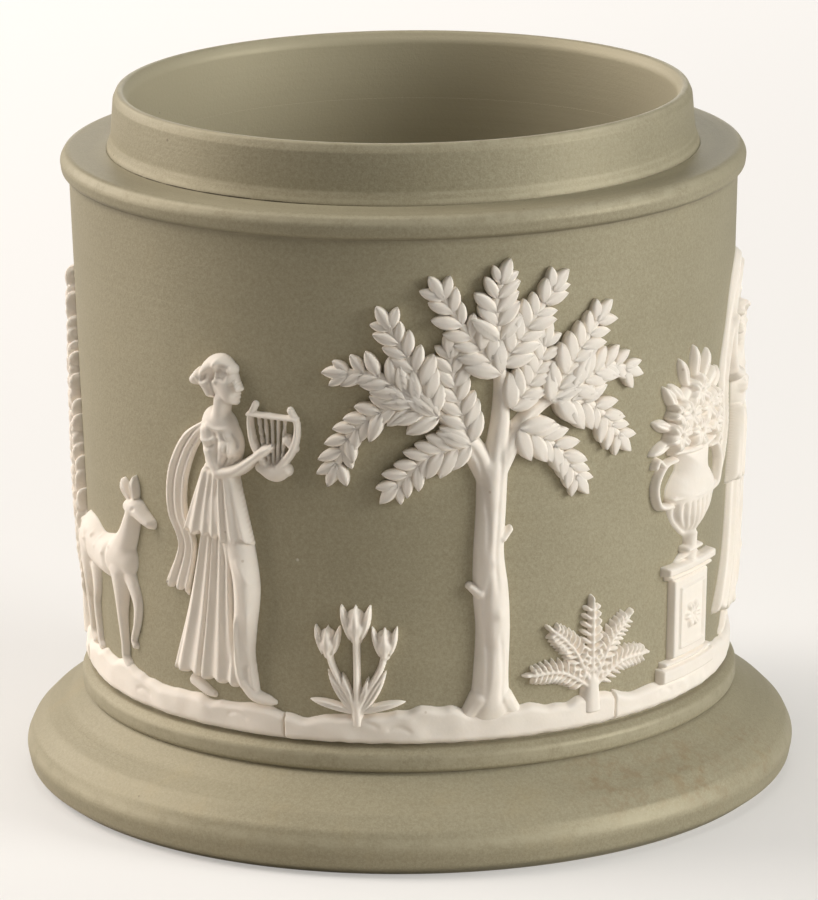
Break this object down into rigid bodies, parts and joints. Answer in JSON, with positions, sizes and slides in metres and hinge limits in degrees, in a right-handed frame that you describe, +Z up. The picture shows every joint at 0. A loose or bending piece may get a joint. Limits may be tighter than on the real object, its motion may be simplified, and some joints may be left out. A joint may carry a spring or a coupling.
{
  "type": "cigarette jar",
  "caption": "Round matte stoneware jar for cigarettes, open on top, with a collar for a drop-over lid, a flared foot and a white relief frieze round the wall.",
  "frame": {"origin": "centre of the flat face under the foot ring, on the jar's axis", "axes": "+Z up along the jar's axis, -Y towards the viewer of the picture, +X to the right"},
  "size_m": [0.0984, 0.0984, 0.088],
  "materials": {
    "sage_stoneware": "matte unglazed stoneware, grey-green",
    "white_stoneware": "matte unglazed stoneware, warm white"
  },
  "bodies": {
    "root": {"jar_cup": "sage_stoneware", "lid_collar": "sage_stoneware", "foot_ring": "sage_stoneware", "ground_strip_1": "white_stoneware", "ground_strip_2": "white_stoneware", "ground_strip_3": "white_stoneware", "ground_strip_4": "white_stoneware", "ground_strip_5": "white_stoneware", "ground_strip_6": "white_stoneware", "tree_front": "white_stoneware", "muse_front": "white_stoneware", "tulip_front": "white_stoneware", "fern_front": "white_stoneware", "urn_right": "white_stoneware", "dancer_right": "white_stoneware", "lily_rear": "white_stoneware", "tree_rear": "white_stoneware", "fern_rear": "white_stoneware", "muse_rear": "white_stoneware", "tulip_rear": "white_stoneware", "urn_rear": "white_stoneware", "dancer_rear": "white_stoneware", "cypress_left": "white_stoneware", "doe_left": "white_stoneware"}
  },
  "joints": []
}
